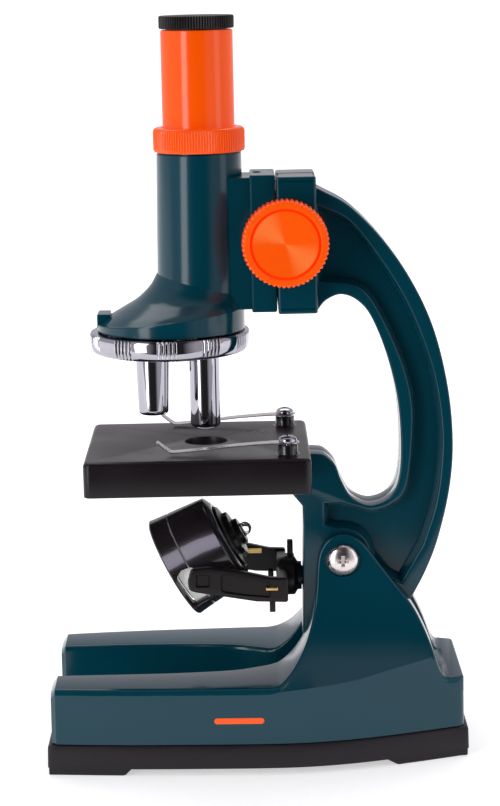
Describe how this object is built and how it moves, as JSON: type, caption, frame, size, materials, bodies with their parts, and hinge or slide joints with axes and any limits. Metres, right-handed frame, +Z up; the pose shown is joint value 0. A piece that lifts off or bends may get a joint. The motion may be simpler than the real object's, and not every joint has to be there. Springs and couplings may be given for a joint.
{
  "type": "kids microscope",
  "caption": "Small upright toy microscope with a tilting C arm, turret nosepiece, rack focus, square stage and a swivelling mirror lamp.",
  "frame": {"origin": "on the surface the feet stand on, under the middle of the base", "axes": "+Z up, +X towards the arm side at the back, +Y to the far side; the optical axis is parallel to Z in the XZ plane"},
  "size_m": [0.1282, 0.0708, 0.225],
  "materials": {
    "teal_plastic": "glossy moulded",
    "orange_plastic": "glossy moulded",
    "black_plastic": "satin moulded",
    "battery_sleeve": "plain wrapped cell",
    "bright_steel": "bright",
    "chrome": "plated",
    "brass": "bare",
    "lens_glass": "polished",
    "mirror_silver": "silvered",
    "white_plastic": "satin moulded",
    "lead_sleeve": "soft sleeve"
  },
  "bodies": {
    "base": {"base_housing": "teal_plastic", "base_tray": "black_plastic", "battery_door": "black_plastic", "battery_box": "black_plastic", "battery_near": "battery_sleeve", "battery_far": "battery_sleeve", "contact_spring_near": "bright_steel", "contact_spring_far": "bright_steel", "contact_plate": "bright_steel", "door_screw": "bright_steel", "tray_screw_1": "bright_steel", "tray_screw_2": "bright_steel", "tray_screw_3": "bright_steel", "tray_screw_4": "bright_steel", "pivot_screw": "chrome", "pivot_nut": "bright_steel", "base_lead": "lead_sleeve"},
    "arm": {"arm_half_near": "teal_plastic", "arm_half_far": "teal_plastic", "arm_screw_1": "bright_steel", "arm_screw_2": "bright_steel", "arm_screw_3": "bright_steel", "stage": "black_plastic", "stage_screw_near": "bright_steel", "stage_screw_far": "bright_steel", "clip_screw_near": "chrome", "clip_screw_far": "chrome", "arm_lead": "lead_sleeve"},
    "clip_near": {"clip_near": "bright_steel"},
    "clip_far": {"clip_far": "bright_steel"},
    "carriage": {"body_tube": "teal_plastic", "focus_rack": "brass", "turret_screw": "chrome"},
    "focus": {"focus_shaft": "bright_steel", "focus_pinion": "brass", "focus_knob_near": "orange_plastic", "focus_knob_far": "orange_plastic"},
    "turret": {"nosepiece": "chrome", "objective_long": "chrome", "objective_medium": "chrome", "objective_short": "chrome", "objective_lens_long": "lens_glass", "objective_lens_medium": "lens_glass", "objective_lens_short": "lens_glass"},
    "collar": {"zoom_collar": "orange_plastic"},
    "drawtube": {"drawtube": "orange_plastic"},
    "eyepiece": {"eyepiece": "black_plastic", "eye_lens": "lens_glass", "field_lens": "lens_glass"},
    "fork": {"lamp_fork": "black_plastic", "fork_retainer": "bright_steel", "lamp_contact_near": "brass", "lamp_contact_far": "brass"},
    "lamp": {"lamp_housing": "black_plastic", "mirror_bezel": "black_plastic", "mirror_liner": "white_plastic", "mirror_glass": "mirror_silver", "lamp_holder": "black_plastic", "lamp_bulb": "lens_glass"}
  },
  "joints": [
    {"name": "arm_tilt", "type": "hinge", "parent": "base", "child": "arm", "pos_m": [0.0266, 0, 0.0599], "axis": [0, 1, 0], "range_deg": [0, 45]},
    {"name": "clip_near_swivel", "type": "hinge", "parent": "arm", "child": "clip_near", "pos_m": [0.0102, -0.022, 0.0979], "axis": [0, 0, 1], "range_deg": [-15, 15]},
    {"name": "clip_far_swivel", "type": "hinge", "parent": "arm", "child": "clip_far", "pos_m": [0.0102, 0.022, 0.0979], "axis": [0, 0, 1], "range_deg": [-15, 15]},
    {"name": "focus_slide", "type": "slide", "parent": "arm", "child": "carriage", "axis": [0, 0, 1], "range_m": [-0.002, 0.011]},
    {"name": "focus_turn", "type": "hinge", "parent": "arm", "child": "focus", "pos_m": [0.0106, 0, 0.1585], "axis": [0, 1, 0], "range_deg": [-40, 215]},
    {"name": "turret_turn", "type": "hinge", "parent": "carriage", "child": "turret", "pos_m": [-0.0248, 0, 0.1241], "axis": [0, 0, 1], "continuous": true},
    {"name": "collar_turn", "type": "hinge", "parent": "carriage", "child": "collar", "pos_m": [-0.0145, 0, 0.1847], "axis": [0, 0, 1], "range_deg": [0, 90]},
    {"name": "drawtube_slide", "type": "slide", "parent": "carriage", "child": "drawtube", "axis": [0, 0, 1], "range_m": [0, 0.015]},
    {"name": "eyepiece_lift", "type": "slide", "parent": "drawtube", "child": "eyepiece", "axis": [0, 0, 1], "range_m": [0, 0.015]},
    {"name": "fork_turn", "type": "hinge", "parent": "arm", "child": "fork", "pos_m": [0.008, 0, 0.0525], "axis": [1, 0, 0], "range_deg": [-35, 35]},
    {"name": "lamp_turn", "type": "hinge", "parent": "fork", "child": "lamp", "pos_m": [-0.0164, 0, 0.0565], "axis": [0, 1, 0], "range_deg": [-75, 130]}
  ],
  "couplings": [
    {"joint": "focus_turn", "follows": "focus_slide", "rad_per_m": 333.33}
  ]
}
